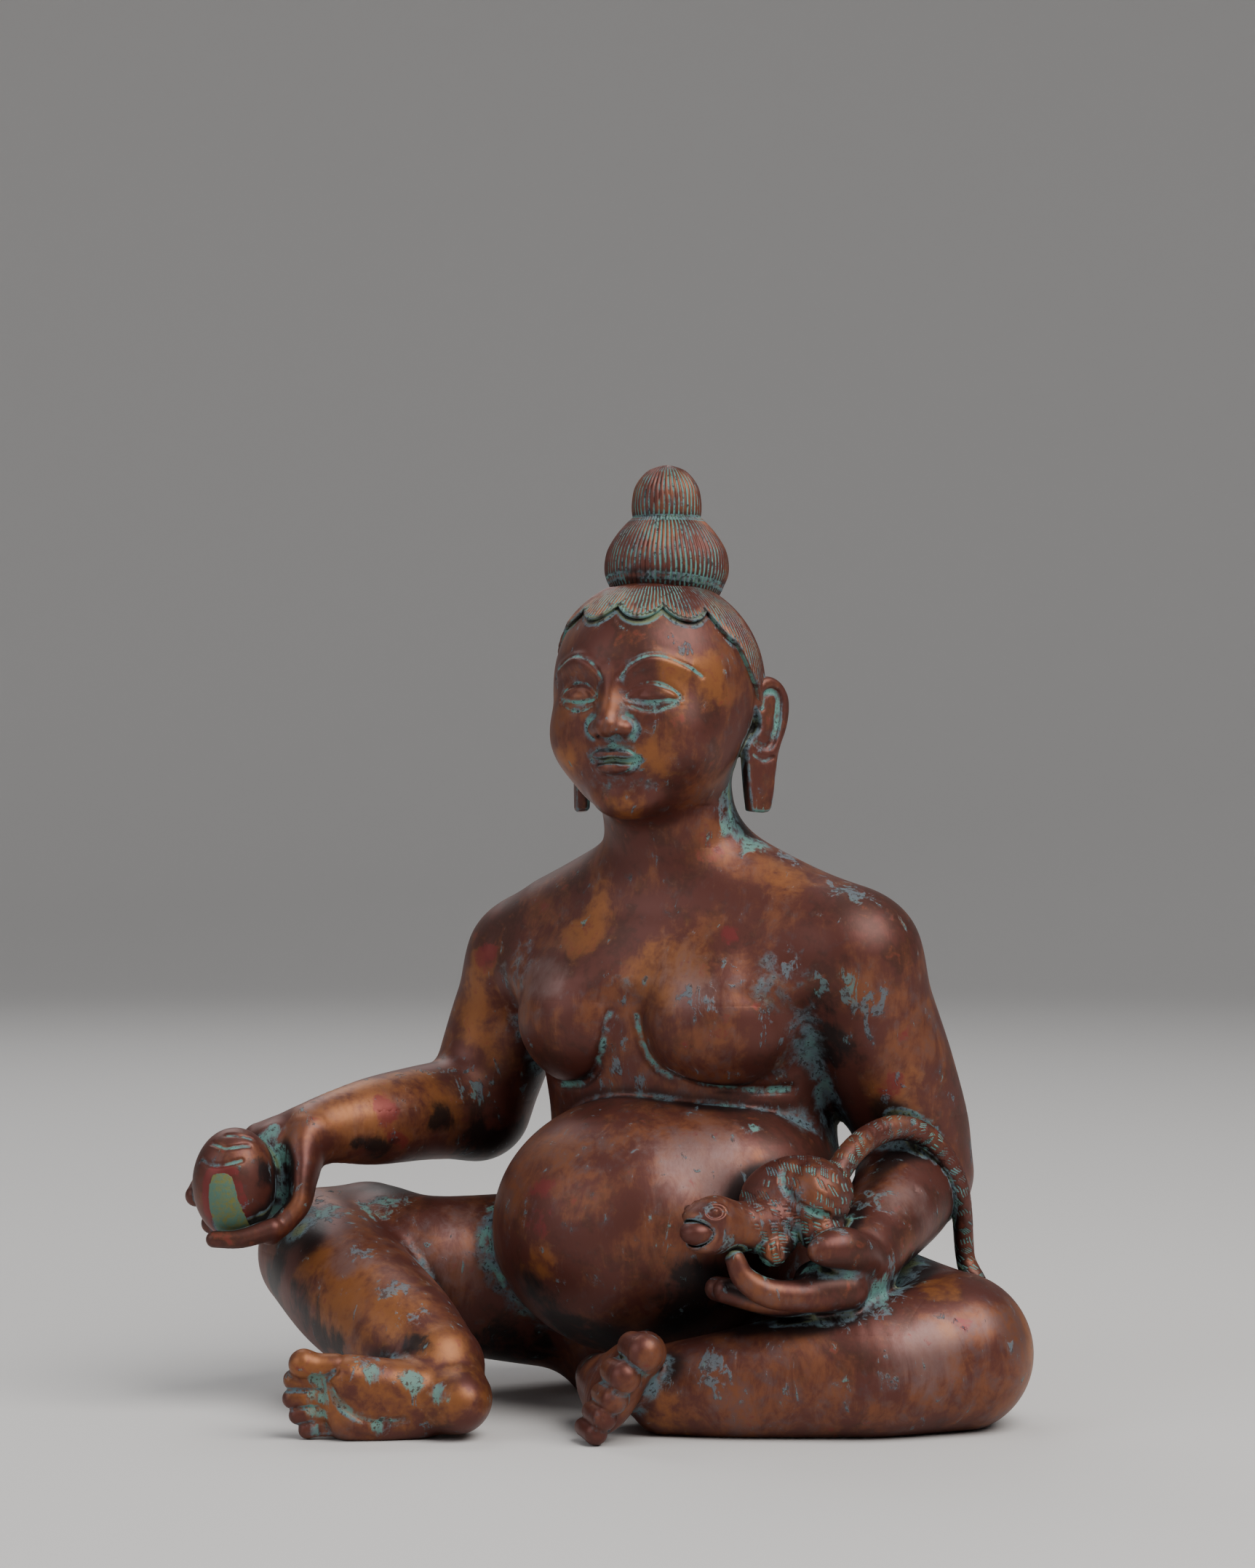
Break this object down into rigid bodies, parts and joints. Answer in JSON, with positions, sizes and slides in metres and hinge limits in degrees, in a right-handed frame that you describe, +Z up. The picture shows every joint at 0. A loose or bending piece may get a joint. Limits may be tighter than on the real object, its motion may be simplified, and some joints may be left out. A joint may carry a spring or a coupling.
{
  "type": "copper deity statue",
  "caption": "Seated pot-bellied deity statue in patinated copper, with a fruit in its right hand and a jewel-bearing mongoose on its left.",
  "frame": {"origin": "middle of the underside's outline box, on the surface that the statue stands on", "axes": "+Z up to the hair knot; the figure faces -Y, with its left hand towards +X"},
  "size_m": [0.2023, 0.1539, 0.2382],
  "materials": {
    "copper": "cast copper with a satin maroon-brown patina, bare golden spots and turquoise verdigris in the creases"
  },
  "bodies": {
    "root": {"statue": "copper"}
  },
  "joints": []
}
